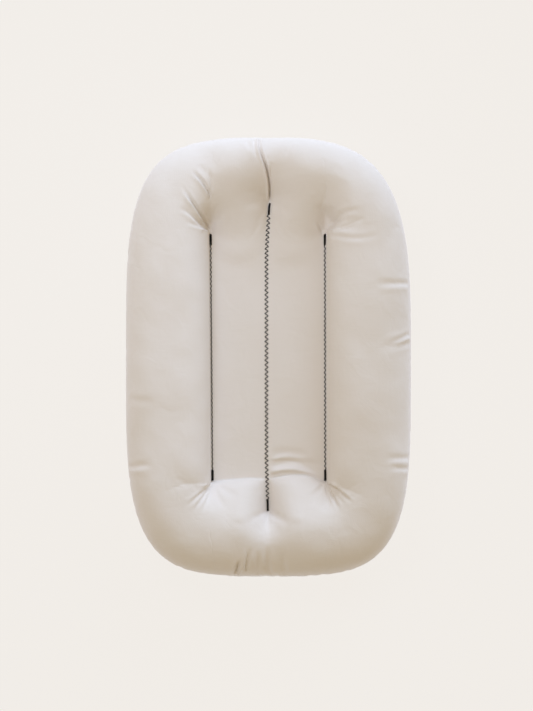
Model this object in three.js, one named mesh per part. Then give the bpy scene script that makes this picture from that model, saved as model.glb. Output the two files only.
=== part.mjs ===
// An infant lounger: a stuffed cotton ring round an unpadded sling, which three zigzag stitch lines hold down.
// The casing is two cotton panels joined by a turned-in seam round the edge, with loose fibre packed into the ring.
// Units are millimetres, +Z is up, +Y runs to the head end, and the origin is on the floor under the middle.

import * as THREE from "three";
import { mergeVertices } from "three/addons/utils/BufferGeometryUtils.js";

// Overall sizes
const loungerWidth = 425;
const loungerLength = 653;
const loungerHeight = 110;
const seamHeight = 50; // the edge seam and the sling, above the floor
const floorPress = 5; // how much of the ring's round underside its own weight presses flat

// Stitch lines: where they lie, and how much of the ring's length they leave free at each end
const sideLineOffset = 85; // from the middle to each side line
const sideLineInset = 141.5; // from the outline to the ends of the side lines
const centreLineInset = 95.5; // from the outline to the ends of the centre line
const stitchLand = 8; // the strip that a stitch line presses flat
const channelCrown = 3; // slack of the sling between two stitch lines
const tuftReach = 52; // how far the end of the centre line dimples the ring

// Cloth and seams
const clothThickness = 0.8;
const seatGap = 0.3; // clearance between pieces that lie on each other
const seamAllowance = 9; // turned-in edge of each panel
const fillNose = 2.5; // from the side stitch line's strip to where the fibre starts

// Thread
const threadDiameter = 0.8;
const linePitch = 2; // along the line, from one needle hole to the next
const lineSwing = 3; // across the line
const tackPitch = 1.1;
const tackSwing = 2.2;
const tackLength = 14;
const closingLength = 120; // the opening at the foot that the fibre went in through
const closingPitch = 3;
const closingSwing = 4;

const samePoint = 0.001; // corners nearer than this are one corner

// Shape numbers without a unit
const headSquareness = 3.5; // superellipse exponents of the outline
const footSquareness = 4.1;
const topRoundness = 2.2; // superellipse exponents of the ring's section
const undersideRoundness = 2.6;
const lobeEase = 0.5; // how softly the ring meets the sling where no stitch line holds it
const rimSpreadShare = 1.1; // how far the sections fan out towards the rim
const channelShares = [0.2, 0.56]; // columns across a channel, from the centre line's strip to a side line's

// Counts
const sideSections = 8;
const cornerSections = 6;
const sectionRows = 8;

// Heights that follow from the sizes
const TOP = {
  up: 1,
  innerFace: seamHeight + seatGap / 2,
  outerFace: seamHeight + seatGap / 2 + clothThickness,
  reach: loungerHeight,
  roundness: topRoundness,
};
const UNDERSIDE = {
  up: -1,
  innerFace: seamHeight - seatGap / 2,
  outerFace: seamHeight - seatGap / 2 - clothThickness,
  reach: -floorPress,
  roundness: undersideRoundness,
};

const halfWidth = loungerWidth / 2;
const halfLength = loungerLength / 2;
const sideLineReach = halfLength - sideLineInset; // how far a line runs from the middle towards each end
const centreLineReach = halfLength - centreLineInset;
const landHalf = stitchLand / 2; // half of a stitch line's strip
const slingHalfWidth = sideLineOffset + landHalf;
const slingHalfLength = sideLineReach + landHalf;
const notchEnd = centreLineReach + landHalf;

const cotton = new THREE.MeshStandardMaterial({ color: 0xe6dfd5, roughness: 0.9, metalness: 0 });
const fibre = new THREE.MeshStandardMaterial({ color: 0xf4f3f0, roughness: 1, metalness: 0 });
const seamThread = new THREE.MeshStandardMaterial({ color: 0xe9e3d8, roughness: 0.8, metalness: 0 });
const darkThread = new THREE.MeshStandardMaterial({ color: 0x2a2420, roughness: 0.7, metalness: 0 });

const lounger = new THREE.Group();

function addPiece(name, geometry, material) {
  const mesh = new THREE.Mesh(geometry, material);
  mesh.name = name;
  lounger.add(mesh);
}

// A skin of triangles that grows four-sided cell by cell; a cell with two corners in one place is a triangle.
class Skin {
  constructor() {
    this.corners = [];
  }

  triangle(a, b, c) {
    const flat = a.equals(b) || b.equals(c) || c.equals(a);
    if (!flat) this.corners.push(a, b, c);
  }

  // Facing back, a cell keeps its diagonal, so that two skins over one grid stay parallel.
  cell(a, b, c, d, facingBack = false) {
    const [second, fourth] = facingBack ? [d, b] : [b, d];
    this.triangle(a, second, c);
    this.triangle(a, c, fourth);
  }

  // The finished surface with shared corners. A panel that faces down has every triangle turned round.
  geometry(up = 1) {
    const points = up > 0 ? this.corners : this.corners.toReversed();
    return mergeVertices(new THREE.BufferGeometry().setFromPoints(points), samePoint);
  }
}

// Plan of the lounger, as sections across the ring and a grid over the sling

// The point of the outline on the ray from the middle through (x, y).
function rimPoint(x, y) {
  const squareness = y > 0 ? headSquareness : footSquareness;
  const across = Math.abs(x / halfWidth) ** squareness;
  const along = Math.abs(y / halfLength) ** squareness;
  const scale = (across + along) ** (-1 / squareness);
  return new THREE.Vector3(x * scale, y * scale, 0);
}

// A section runs from the sling's edge out to the rim. A stitched one is pinched where it starts.
function section(wellX, wellY, rimX, rimY, stitched) {
  const well = new THREE.Vector3(wellX, wellY, 0);
  const rim = rimPoint(rimX, rimY);
  const outward = rim.clone().sub(well).normalize();
  return { well, rim, outward, stitched };
}

function mirrored({ well, rim, stitched }, x, y) {
  return section(well.x * x, well.y * y, rim.x * x, rim.y * y, stitched);
}

// Every stitch line's strip has a column at each edge, with more columns over the channels between them.
const stripEdge = sideLineOffset - landHalf;
const channelXs = channelShares.map((share) => THREE.MathUtils.lerp(landHalf, stripEdge, share));
const rightColumns = [landHalf, ...channelXs, stripEdge, slingHalfWidth];
const columns = [...rightColumns.toReversed().map((x) => -x), ...rightColumns];
const rowSteps = Array.from({ length: sideSections + 1 }, (_, index) => index / sideSections);
const rows = rowSteps.map((share) => THREE.MathUtils.lerp(-slingHalfLength, slingHalfLength, share));

// Right side, from foot to head.
const sideRun = rows.map((y) => section(slingHalfWidth, y, halfWidth, y * rimSpreadShare, true));

// Head's right corner: every section starts at the corner of the sling.
const cornerRun = Array.from({ length: cornerSections }, (_, index) => {
  const turn = (index + 1) / cornerSections;
  const rimX = THREE.MathUtils.lerp(halfWidth, slingHalfWidth * rimSpreadShare, turn);
  const rimY = THREE.MathUtils.lerp(slingHalfLength * rimSpreadShare, halfLength, turn);
  return section(slingHalfWidth, slingHalfLength, rimX, rimY, true);
});

// Head, from right to left. The centre line's strip runs on beyond the sling, up into the ring.
const endRun = columns.slice(1, -1).toReversed().map((x) => {
  const onCentreLine = Math.abs(x) <= landHalf;
  const onSideLine = Math.abs(x) >= stripEdge;
  const wellY = onCentreLine ? notchEnd : slingHalfLength;
  return section(x, wellY, x * rimSpreadShare, halfLength, onCentreLine || onSideLine);
});

// Once round the ring, anticlockwise as seen from above.
const ring = [
  ...sideRun,
  ...cornerRun,
  ...endRun,
  ...cornerRun.toReversed().map((s) => mirrored(s, -1, 1)),
  ...sideRun.map((s) => mirrored(s, -1, -1)),
  ...cornerRun.map((s) => mirrored(s, -1, -1)),
  ...endRun.map((s) => mirrored(s, -1, -1)),
  ...cornerRun.toReversed().map((s) => mirrored(s, 1, -1)),
];

// Rows across a section lie closest at its two ends, where the cloth is steepest.
const rowShares = Array.from({ length: sectionRows + 1 }, (_, row) => (1 - Math.cos((Math.PI * row) / sectionRows)) / 2);

// Joins each profile to the next, all round the ring.
function sweepRing(skin, profileOf, facingBack = false) {
  const profiles = ring.map(profileOf);
  profiles.forEach((here, index) => {
    const next = profiles[(index + 1) % profiles.length];
    for (let step = 0; step < here.length - 1; step++) {
      skin.cell(here[step], here[step + 1], next[step + 1], next[step], facingBack);
    }
  });
}

// Calls cell(a, b, c, d) over the sling, and over the two notches that hold the ends of the centre line.
function eachSlingCell(point, cell) {
  for (let column = 0; column < columns.length - 1; column++) {
    const [left, right] = [columns[column], columns[column + 1]];
    for (let row = 0; row < rows.length - 1; row++) {
      const [low, high] = [rows[row], rows[row + 1]];
      cell(point(left, low), point(right, low), point(right, high), point(left, high));
    }
  }
  for (const end of [1, -1]) {
    const mouth = [-channelXs[0], -landHalf, landHalf, channelXs[0]].map((x) => point(x * end, slingHalfLength * end));
    const tip = [-landHalf, landHalf].map((x) => point(x * end, notchEnd * end));
    cell(mouth[0], mouth[1], tip[0], tip[0]);
    cell(mouth[1], mouth[2], tip[1], tip[0]);
    cell(mouth[2], mouth[3], tip[1], tip[1]);
  }
}

// Form of the stuffed casing

// How far a section stands up across its width: 0 at the sling, 1 at the crown and 0 at the rim.
function liftShare(share, roundness, stitched) {
  const round = (1 - Math.abs(2 * share - 1) ** roundness) ** (1 / roundness);
  if (stitched || share > 1 / 2) return round;
  const eased = (1 - Math.cos(2 * Math.PI * share)) / 2;
  return THREE.MathUtils.lerp(round, eased, lobeEase);
}

// 0 on the centre line's strip and 1 beyond its pull, for the dimple where the line ends in the ring.
function tuftShare(plan) {
  const pastEnd = Math.max(Math.abs(plan.y) - centreLineReach, 0);
  const away = Math.max(Math.hypot(plan.x, pastEnd) - landHalf, 0);
  const pull = Math.max(1 - away / tuftReach, 0);
  return Math.sqrt(1 - pull ** 2);
}

// Slack of the sling across a channel, highest halfway between two strips.
function channelRise(x) {
  const share = THREE.MathUtils.clamp((Math.abs(x) - landHalf) / (stripEdge - landHalf), 0, 1);
  return channelCrown * (1 - (2 * share - 1) ** 2);
}

function slingPoint(panel, x, y) {
  return new THREE.Vector3(x, y, panel.outerFace + panel.up * channelRise(x));
}

// A point of a panel's outer face over the ring. The panel ends at the rim, in the plane of the seam.
function ringPoint(panel, { well, rim, stitched }, share) {
  const point = well.clone().lerp(rim, share);
  if (share === 1) return point.setZ(panel.innerFace);
  const start = panel.outerFace + panel.up * channelRise(well.x);
  const lift = liftShare(share, panel.roundness, stitched) * tuftShare(point);
  return point.setZ(Math.max(THREE.MathUtils.lerp(start, panel.reach, lift), 0));
}

const ringRows = (panel, across) => rowShares.map((share) => ringPoint(panel, across, share));

// A function that moves a corner of the panel's outer face into the casing, square to that face.
function insetter(panel) {
  const skin = new Skin();
  sweepRing(skin, (across) => ringRows(panel, across));
  eachSlingCell((x, y) => slingPoint(panel, x, y), (...corners) => skin.cell(...corners));
  const face = skin.geometry(panel.up);
  face.computeVertexNormals();
  const { position, normal } = face.attributes;
  const corners = Array.from({ length: position.count }, (_, index) => ({
    at: new THREE.Vector3().fromBufferAttribute(position, index),
    out: new THREE.Vector3().fromBufferAttribute(normal, index),
  }));
  return (point, depth) => {
    const corner = corners.find(({ at }) => at.distanceTo(point) < samePoint);
    return point.clone().addScaledVector(corner.out, -depth);
  };
}

const insetOf = new Map([TOP, UNDERSIDE].map((panel) => [panel, insetter(panel)]));

// A point at a depth inside the rim and a height over the seam.
function insideRim({ rim, outward }, depth, height) {
  return rim.clone().addScaledVector(outward, -depth).setZ(seamHeight + height);
}

// Casing panels: one sheet of cotton each, with its raw edge turned in at the rim

function panelGeometry(panel) {
  const inward = (point) => insetOf.get(panel)(point, clothThickness);
  const nearSide = panel.innerFace - seamHeight;
  const farSide = nearSide + panel.up * clothThickness;
  const turn = (across) => insideRim(across, clothThickness, farSide);
  const skin = new Skin();
  sweepRing(skin, (across) => [
    ...ringRows(panel, across),
    insideRim(across, seamAllowance, nearSide),
    insideRim(across, seamAllowance, farSide),
    turn(across),
  ]);
  sweepRing(skin, (across) => [...ringRows(panel, across).slice(0, -1).map(inward), turn(across)], true);
  eachSlingCell((x, y) => slingPoint(panel, x, y), (...corners) => {
    skin.cell(...corners);
    skin.cell(...corners.map(inward), true);
  });
  return skin.geometry(panel.up);
}

addPiece("top_panel", panelGeometry(TOP), cotton);
addPiece("bottom_panel", panelGeometry(UNDERSIDE), cotton);

// Seam thread: binds the two raw edges inside the ring, all round

const threadRadius = clothThickness + seatGap / 2;
const seamThreadDepth = seamAllowance + seatGap + threadRadius;

function seamThreadGeometry() {
  const skin = new Skin();
  sweepRing(skin, (across) => [
    insideRim(across, seamThreadDepth + threadRadius, 0),
    insideRim(across, seamThreadDepth, threadRadius),
    insideRim(across, seamThreadDepth - threadRadius, 0),
    insideRim(across, seamThreadDepth, -threadRadius),
    insideRim(across, seamThreadDepth + threadRadius, 0),
  ]);
  return skin.geometry();
}

addPiece("edge_seam_thread", seamThreadGeometry(), seamThread);

// Fibre: one ring of packed stuffing, grooved round its outside where the turned-in edges lie

function fibreGeometry() {
  const grooveDepth = seamThreadDepth + threadRadius + seatGap;
  const grooveHalf = threadRadius + seatGap;
  const mouthDepth = clothThickness + 2 * seatGap;
  const rowsInside = (panel, across) =>
    ringRows(panel, across).slice(1, -1).map((point) => insetOf.get(panel)(point, clothThickness + seatGap));
  const skin = new Skin();
  const nose = ({ well, outward }) => well.clone().addScaledVector(outward, fillNose).setZ(seamHeight);
  const lowerLip = (across) => insideRim(across, mouthDepth, -grooveHalf);
  sweepRing(skin, (across) => [
    nose(across),
    ...rowsInside(TOP, across),
    insideRim(across, mouthDepth, grooveHalf),
    insideRim(across, grooveDepth, grooveHalf),
    insideRim(across, grooveDepth, -grooveHalf),
    lowerLip(across),
  ]);
  sweepRing(skin, (across) => [nose(across), ...rowsInside(UNDERSIDE, across), lowerLip(across)], true);
  return skin.geometry();
}

addPiece("fibre_fill", fibreGeometry(), fibre);

// Zigzag threads

// A run of zigzag thread, three-sided, with its flat side on the cloth. place puts a point of it in the object:
// along the run, across it, and off the cloth.
function zigzagGeometry({ from, length, pitch, swing }, place, up = 1) {
  const strokes = Math.round(length / pitch);
  const step = length / strokes;
  const halfBand = ((threadDiameter / 2) * Math.hypot(swing, step)) / step;
  const bend = (index) => {
    const along = from + index * step;
    const across = (index % 2 ? swing : -swing) / 2;
    return [place(along, across - halfBand, 0), place(along, across + halfBand, 0), place(along, across, threadDiameter)];
  };
  const skin = new Skin();
  const [first, last] = [bend(0), bend(strokes)];
  skin.triangle(...first);
  skin.triangle(...last.toReversed());
  for (let index = 0; index < strokes; index++) {
    const [here, next] = [bend(index), bend(index + 1)];
    here.forEach((corner, side) => {
      const other = (side + 1) % here.length;
      skin.cell(corner, next[side], next[other], here[other]);
    });
  }
  return skin.geometry(up);
}

const stitchLines = [
  { name: "left", x: -sideLineOffset, reach: sideLineReach },
  { name: "centre", x: 0, reach: centreLineReach },
  { name: "right", x: sideLineOffset, reach: sideLineReach },
];
const faces = [
  { panel: TOP, threadName: "needle_thread", tackName: "tack_top" },
  { panel: UNDERSIDE, threadName: "bobbin_thread", tackName: "tack_under" },
];

for (const { name, x, reach } of stitchLines) {
  for (const { panel, threadName, tackName } of faces) {
    const place = (along, across, off) =>
      new THREE.Vector3(x + across, along, panel.outerFace + panel.up * (seatGap + off));
    const lineReach = reach - tackLength - seatGap;
    const line = { from: -lineReach, length: 2 * lineReach, pitch: linePitch, swing: lineSwing };
    addPiece(`${name}_line_${threadName}`, zigzagGeometry(line, place, panel.up), darkThread);
    const tack = { length: tackLength, pitch: tackPitch, swing: tackSwing };
    const headTack = zigzagGeometry({ ...tack, from: reach - tackLength }, place, panel.up);
    const footTack = zigzagGeometry({ ...tack, from: -reach }, place, panel.up);
    addPiece(`${name}_head_${tackName}`, headTack, darkThread);
    addPiece(`${name}_foot_${tackName}`, footTack, darkThread);
  }
}

// Closing stitch: shuts the opening in the edge seam at the foot, over the seam from outside

const closingRun = { from: -closingLength / 2, length: closingLength, pitch: closingPitch, swing: closingSwing };
const closingPlace = (along, across, off) => {
  const onRim = rimPoint(along, -halfLength);
  return onRim.setY(onRim.y - seatGap - off).setZ(seamHeight - across);
};
addPiece("foot_closing_stitch", zigzagGeometry(closingRun, closingPlace), seamThread);

export default lounger;
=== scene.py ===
"""An infant lounger seen from straight above: a stuffed ring of cream cotton round a flat sling.

Lengths are in millimetres until a mesh is made. +Y runs to the head end, and +Z is up.
"""

import math

import bpy
import numpy as np
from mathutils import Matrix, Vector


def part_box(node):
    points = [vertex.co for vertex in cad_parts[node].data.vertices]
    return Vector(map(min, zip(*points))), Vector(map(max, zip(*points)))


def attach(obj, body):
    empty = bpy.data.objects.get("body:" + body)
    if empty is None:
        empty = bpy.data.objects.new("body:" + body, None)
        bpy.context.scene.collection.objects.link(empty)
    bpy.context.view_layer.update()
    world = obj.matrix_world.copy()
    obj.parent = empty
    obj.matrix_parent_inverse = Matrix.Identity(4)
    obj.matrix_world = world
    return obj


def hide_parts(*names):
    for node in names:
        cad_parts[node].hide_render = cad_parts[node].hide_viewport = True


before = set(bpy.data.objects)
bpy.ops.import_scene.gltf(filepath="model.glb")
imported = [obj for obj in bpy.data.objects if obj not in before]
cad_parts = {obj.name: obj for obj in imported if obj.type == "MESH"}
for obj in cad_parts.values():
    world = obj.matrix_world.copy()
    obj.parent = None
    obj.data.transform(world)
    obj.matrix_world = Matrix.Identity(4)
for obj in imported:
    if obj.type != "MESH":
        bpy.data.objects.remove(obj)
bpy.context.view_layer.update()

# Plan of the casing
# Two panels of cream cotton are cut alike, sewn face to face round the edge and turned out through the
# foot. The plan is laid out as a square grid of cloth that is bent on to the rounded outline.

MM = 1000.0  # millimetres in one of Blender's metres


def node_box(name):
    """Lowest and highest corner of a piece of the fixed frame, in millimetres."""
    groove_shade_colour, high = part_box(name)
    return np.array(groove_shade_colour) * MM, np.array(high) * MM


top_low, top_high = node_box("top_panel")
base_high = node_box("bottom_panel")[1]
half_width, half_length, crown_height = top_high
seam_height = (top_low[2] + base_high[2]) / 2
side_low, side_high = node_box("right_line_needle_thread")
side_line = (side_low[0] + side_high[0]) / 2
side_reach = node_box("right_head_tack_top")[1][1]
centre_reach = node_box("centre_head_tack_top")[1][1]

cloth = 0.8
face_lift = 0.15 + cloth  # from the seam's height to the outer face of a panel's sling
wall_foot = 2.4  # from a side stitch line to where the ring's wall rises
well_half_width = side_line + wall_foot
well_half_length = side_reach + 2.0
straight_margin = 8.0  # how far beyond the well the grid stays straight
outline_power = {"head_left": 3.9, "head_right": 3.4, "foot_left": 4.0, "foot_right": 4.1}


def power_at(x, y):
    """Superellipse exponent of the outline in each quarter of the plan."""
    head = np.where(x < 0, outline_power["head_left"], outline_power["head_right"])
    foot = np.where(x < 0, outline_power["foot_left"], outline_power["foot_right"])
    return np.where(y > 0, head, foot)


def smooth(share):
    """0 to 1 with a level start and end."""
    share = np.clip(share, 0, 1)
    return share * share * (3 - 2 * share)


ring_lines = 78
wall_gap = 0.25  # keeps the lines at the foot of the ring's wall a little apart
rim_turns = (0.028, 0.018, 0.0105, 0.005)  # more lines beside the rim, each so much short of the half turn


def whole_lines(inner, outer, shares):
    """Grid lines from edge to edge: at shares of the sling, then even along the ring's round back."""
    sling = inner * shares
    turn = np.linspace(0, math.pi, ring_lines + 1)[1:-1]
    turn = np.concatenate([turn, math.pi - np.array(rim_turns), [math.pi]])
    gone = turn / math.pi
    steps = (1 - np.cos(turn)) / 2 + wall_gap * gone * (1 - gone) ** 4
    half = np.concatenate([sling, inner + (outer - inner) * steps])
    return np.concatenate([-half[:0:-1], half])


# Across the sling the lines crowd at its middle and at the side stitches, and along it at its ends.
to_side, to_end = np.linspace(0, 1, 47), np.linspace(0, 1, 67)
close_to_stitches = to_side - 0.5 * np.sin(2 * math.pi * to_side) / (2 * math.pi)
columns = whole_lines(well_half_width, half_width, close_to_stitches)
rows = whole_lines(well_half_length, half_length, to_end * (1.3 - 0.3 * to_end))
grid_x, grid_y = np.meshgrid(columns, rows)
high, wide = grid_x.shape


def plan_of(x, y):
    """Bends the square grid on to the outline. Round the stitch lines it stays straight."""
    power = power_at(x, y)
    across, along = np.abs(x) / half_width, np.abs(y) / half_length
    bent_x = x * (1 - along**power / 2) ** (1 / power)
    bent_y = y * (1 - across**power / 2) ** (1 / power)
    straight_width = well_half_width + straight_margin
    straight_length = well_half_length + straight_margin
    past_x = np.clip((np.abs(x) - straight_width) / (half_width - straight_width), 0, 1)
    past_y = np.clip((np.abs(y) - straight_length) / (half_length - straight_length), 0, 1)
    bend = smooth((past_x**4 + past_y**4) ** 0.25)
    return x + (bent_x - x) * bend, y + (bent_y - y) * bend


def smooth_path(points, steps):
    """A curve through a few points."""
    points = np.array(points, float)
    places = np.linspace(0, len(points) - 1, steps)
    padded = np.concatenate([2 * points[:1] - points[1:2], points, 2 * points[-1:] - points[-2:-1]])
    number = np.minimum(places.astype(int), len(points) - 2)
    t = (places - number)[:, None]
    a, b, c, d = (padded[number + k] for k in range(4))
    return b + t / 2 * (c - a + t * (2 * a - 5 * b + 4 * c - d + t * (3 * (b - c) + d - a)))


plan_x, plan_y = plan_of(grid_x, grid_y)
# The head's one deep pleat bends from the tuft to the edge, and the middle lines of the grid go with it.
pleat_points = [(0, 226), (1.3, 233), (1.7, 248), (0.2, 264)]
pleat_points += [(-3.2, 278), (-8.2, 292), (-11.6, 303), (-13, 318)]
pleat_pull = 30.0  # how far to each side the grid's lines bend with it
pleat_path = smooth_path(pleat_points, 60)
pleat_bend = np.interp(plan_y, pleat_path[:, 1], pleat_path[:, 0]) * (plan_y > 0)
plan_x = plan_x + pleat_bend * np.exp(-((plan_x / pleat_pull) ** 2))


def across_ring(x, y):
    """How far across the ring a point lies, from 0 at the well to 1, its way out and its rim point."""
    from_x = np.clip(x, -well_half_width, well_half_width)
    from_y = np.clip(y, -well_half_length, well_half_length)
    out_x, out_y = x - from_x, y - from_y
    away = np.hypot(out_x, out_y)
    safe = np.maximum(away, 1e-9)
    out_x, out_y = out_x / safe, out_y / safe
    near, far = np.zeros_like(x), np.full_like(x, half_length)
    for _ in range(40):
        middle = (near + far) / 2
        at_x, at_y = from_x + out_x * middle, from_y + out_y * middle
        power = power_at(at_x, at_y)
        inside = (np.abs(at_x) / half_width) ** power + (np.abs(at_y) / half_length) ** power < 1
        near, far = np.where(inside, middle, near), np.where(inside, far, middle)
    share = np.where(away > 1e-6, np.clip(away / near, 0, 1), 0)
    return share, out_x, out_y, from_x + out_x * near, from_y + out_y * near


share, out_x, out_y, rim_x, rim_y = across_ring(plan_x, plan_y)


def border_of(tall, broad):
    """Numbers of the points round a grid, from the foot's left corner and counter-clockwise."""
    return np.concatenate(
        [
            np.arange(broad - 1),
            np.arange(tall - 1) * broad + broad - 1,
            (tall - 1) * broad + np.arange(broad - 1, 0, -1),
            np.arange(tall - 1, 0, -1) * broad,
        ]
    )


def rim_of(tall, broad):
    """True at the points round a grid."""
    rim = np.zeros((tall, broad), bool)
    rim[[0, -1], :] = rim[:, [0, -1]] = True
    return rim


border = border_of(high, wide)
edge_x, edge_y = plan_x.ravel()[border], plan_y.ravel()[border]
edge_out = np.stack([out_x.ravel()[border], out_y.ravel()[border]], axis=-1)
edge_steps = np.hypot(np.roll(edge_x, -1) - edge_x, np.roll(edge_y, -1) - edge_y)
edge_gone = np.concatenate([[0], np.cumsum(edge_steps)])
edge_length = edge_gone[-1]


def edge_place(x, y):
    """How far round the edge a rim point lies, from the foot's left corner and counter-clockwise, in mm."""
    turn = np.arctan2(y / half_length, x / half_width)
    known = np.arctan2(edge_y / half_length, edge_x / half_width)
    order = np.argsort(known)
    turns = np.concatenate([known[order][-1:] - 2 * math.pi, known[order], known[order][:1] + 2 * math.pi])
    first = edge_gone[:-1][order]
    unwrapped = np.unwrap(np.concatenate([first[-1:], first, first[:1]]) / edge_length * 2 * math.pi)
    return np.interp(turn, turns, unwrapped) / (2 * math.pi) * edge_length


around = edge_place(rim_x, rim_y)

# Form of the stuffed casing
# Packed fibre rounds the ring and pushes it over the side stitch lines. The three lines pinch both panels
# to a flat sling, and the centre line runs on into the ring, which tufts it at the head and at the foot.

chance = np.random.default_rng(11)
wave_peak = 1.6  # brings a sum of ripples back to about -1 to 1


def waves(shortest, longest, count):
    """A smooth uneven field over the plan, about -1 to 1: a few long ripples in random directions."""
    heading = chance.uniform(0, math.pi, count)
    length = chance.uniform(shortest, longest, count)
    phase = chance.uniform(0, 2 * math.pi, count)

    def field(x, y):
        ripples = [
            np.sin(2 * math.pi * (x * math.cos(h) + y * math.sin(h)) / wave + start)
            for h, wave, start in zip(heading, length, phase)
        ]
        return sum(ripples) / math.sqrt(count / 2) / wave_peak

    return field


stuffing_lumps = waves(90, 220, 9)
small_lumps = waves(35, 80, 14)
sling_slack = waves(60, 160, 8)

channel_crown = 2.4  # slack of the sling between two stitch lines
stitch_strip = 2.6  # half of the strip that a stitch line presses flat
tuft_radius = {"head": 76.0, "foot": 46.0}
tuft_stretch = {"head": 0.8, "foot": 1.05}  # how fast the dimple ends beyond the line, against sideways
tuft_power, foot_sharper = 0.72, 0.2  # the less, the steeper the dimple's sides
foot_sag, sag_reach = 0.2, 40.0  # how much lower the foot's ring stays at its middle, and how far sideways
wall_overhang = {"left": 3.4, "right": 2.6}
# How much squarer the ring's section is along its sides than at its ends, and how many times that on the
# half beside the well.
side_square, inner_square = 0.45, 1.3
lobe_bulge = {"head": 19.0, "foot": 8.0}  # the ring's ends swell towards the well between the stitch lines
bulge_fade = {"head": 38.0, "foot": 28.5}  # how far from the end of the well the swelling dies away
bulge_lean, lean_width = 0.3, 40.0  # the foot swells more right of the centre line, and less left of it
bulge_dent = 0.4  # and less beside that line, over the same share of the way to a side line
foot_ease = 0.35  # how gently the ring rises from the sling at the foot
# At the head it climbs in a long even slope up to a share of its width, with a gentle start over another.
wall_share, wall_start, wall_power = 0.6, 0.25, 1.12
end_wall, wall_fade = {"left": 30.0, "right": 44.0}, 62.0  # how far past the side lines that slope runs out
sharp_fade, sharp_until = 0.25, 0.3  # beside the well it runs out over this share of the way
back_power = 2.4  # roundness of the ring's back behind that slope
crown_blur, tuft_blur = 30, 16  # how often the crown of the slope and the foot's tuft are softened
crown_spread = 0.3  # over which share of the ring's width
soft_past, soft_rise = 2.0, 12.0  # how far past the centre line's foot, and over what length
soft_side, soft_fall = 70.0, 20.0  # how far to each side of it, and over what width
end_keep = 1.5  # how soon the ends' slope and rise fade towards the sides
end_slack = {"head": 2.4, "foot": 0.6}  # how much more the sling's slack swells where the ring takes it up
end_slack_from, end_slack_over = 55.0, 60.0  # how far short of the well's ends, and over what length
slack_fall = 20.0  # the sling's loose waves die away over this much beside the side lines
rim_share = 0.1  # share of the ring beside the rim over which the two faces come together
rim_gap = 0.1  # and how far from the seam each then lies
hang_until, hang_over = 0.35, 0.6  # shares of the well's half length over which the overhang dies away
hang_power = 3  # how close to the well the wall hangs over
swells = [(150.0, 30.0, 60.0, 95.0, 3.0), (-150.0, 130.0, 60.0, 70.0, 1.5)]  # where the filling is fuller
lean_middle = {"left": -0.3, "centre": -3.0, "right": -0.3}  # where the sewn lines drift to, at mid length
lean_head = {"left": -1.4, "centre": 0.0, "right": -0.3}  # and what they add up to the head's end
lean_back = {"head": 1.4, "foot": 0.65}  # how much of its drift the centre line gives back at each end
lean_back_from, lean_back_over = 160.0, 70.0
swell_depth, lump_depth, slack_depth = 1.8, 0.45, 0.5


def blur(grid, times):
    """Softens a grid over its neighbours, again and again."""
    for _ in range(times):
        for axis in (0, 1):
            padded = np.concatenate([np.take(grid, [0], axis), grid, np.take(grid, [-1], axis)], axis)
            count = grid.shape[axis]
            before, after = (np.take(padded, range(k, k + count), axis) for k in (0, 2))
            grid = grid / 2 + (before + after) / 4
    return grid


def by_end(y, sizes):
    """The head's or the foot's size at each place."""
    return np.where(y > 0, sizes["head"], sizes["foot"])


def by_side(x, sizes):
    """The left or the right side's size at each place."""
    return np.where(x < 0, sizes["left"], sizes["right"])


def tuft_of(x, y):
    """0 on the centre line's strip and 1 beyond its pull, for the dimple at each end of the ring."""
    radius = by_end(y, tuft_radius)
    past = np.maximum(np.abs(y) - centre_reach, 0) * by_end(y, tuft_stretch)
    reach = np.hypot(x, past)
    away = np.maximum(reach - stitch_strip, 0)
    rise = np.sin(math.pi / 2 * np.clip(away / radius, 0, 1))
    beyond = (past / np.maximum(reach, 1)) ** 2 * (y < 0)
    low_middle = 1 - foot_sag * beyond * np.exp(-((x / sag_reach) ** 2))
    return rise ** (tuft_power - foot_sharper * beyond) * low_middle


def channel_rise(x):
    """How far the sling swells between two stitch lines."""
    spread = np.clip((np.abs(x) - stitch_strip) / (side_line - 2 * stitch_strip), 0, 1)
    return channel_crown * (1 - (2 * spread - 1) ** 2)


def lift_of(power, ease, slope):
    """How far the ring stands up over its width, as a share of its height."""
    across = 2 * share - 1
    round_back = (1 - np.abs(across) ** power) ** (1 / power)
    eased = (1 + np.cos(math.pi * across)) / 2
    rounded = np.where(across < 0, round_back + (eased - round_back) * ease, round_back)
    gently = np.hypot(share, wall_start) - wall_start
    climb = np.clip(gently / (math.hypot(wall_share, wall_start) - wall_start), 0, 1)
    past = np.clip((share - wall_share) / (1 - wall_share), 0, 1)
    rising = (1 - (1 - climb) ** wall_power) ** (1 / wall_power)
    wall = np.where(share < wall_share, rising, (1 - past**back_power) ** (1 / back_power))
    return rounded + (wall - rounded) * slope


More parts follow.
